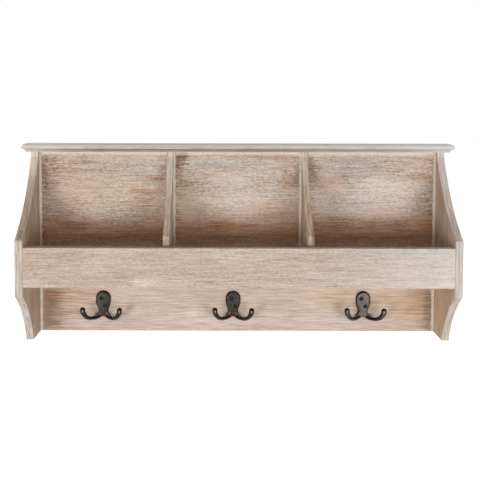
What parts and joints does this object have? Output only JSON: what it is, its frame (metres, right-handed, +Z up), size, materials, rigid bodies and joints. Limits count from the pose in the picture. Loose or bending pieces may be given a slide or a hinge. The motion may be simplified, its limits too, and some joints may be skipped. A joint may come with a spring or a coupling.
{
  "type": "wall storage rack",
  "caption": "Wall-hung rack in lime-washed wood: open cubbies behind a front rail under a moulded top board, with double-prong coat hooks below.",
  "frame": {"origin": "midway between the middles of the round entries of the two keyhole hangers, on the plane of the wall", "axes": "+X to the right along the wall as seen from the room, +Y into the wall, +Z up"},
  "size_m": [0.64, 0.13, 0.2845],
  "materials": {
    "limewashed_wood": "white lime wash over light brown wood, wire-brushed grain with warm brown patches, matt",
    "dowel_wood": "plain beech, unfinished",
    "cast_hook_metal": "dark pewter-bronze cast metal, lightly mottled, satin",
    "dark_screw": "blackened steel screw",
    "zinc_steel": "zinc-plated steel"
  },
  "bodies": {
    "root": {"top_board": "limewashed_wood", "left_side_panel": "limewashed_wood", "right_side_panel": "limewashed_wood", "back_panel": "limewashed_wood", "front_rail": "limewashed_wood", "bottom_shelf": "limewashed_wood", "left_divider": "limewashed_wood", "right_divider": "limewashed_wood", "coat_hook_left": "cast_hook_metal", "coat_hook_centre": "cast_hook_metal", "coat_hook_right": "cast_hook_metal", "hook_screws_left": "dark_screw", "hook_screws_centre": "dark_screw", "hook_screws_right": "dark_screw", "keyhole_hanger_left": "zinc_steel", "keyhole_hanger_right": "zinc_steel", "hanger_screws_left": "zinc_steel", "hanger_screws_right": "zinc_steel", "side_top_dowels": "dowel_wood", "back_top_dowels": "dowel_wood", "side_back_dowels": "dowel_wood", "side_shelf_dowels": "dowel_wood", "side_rail_dowels": "dowel_wood", "rail_shelf_dowels": "dowel_wood", "divider_pins": "dowel_wood", "shelf_nails": "zinc_steel", "divider_nails": "zinc_steel"}
  },
  "joints": []
}
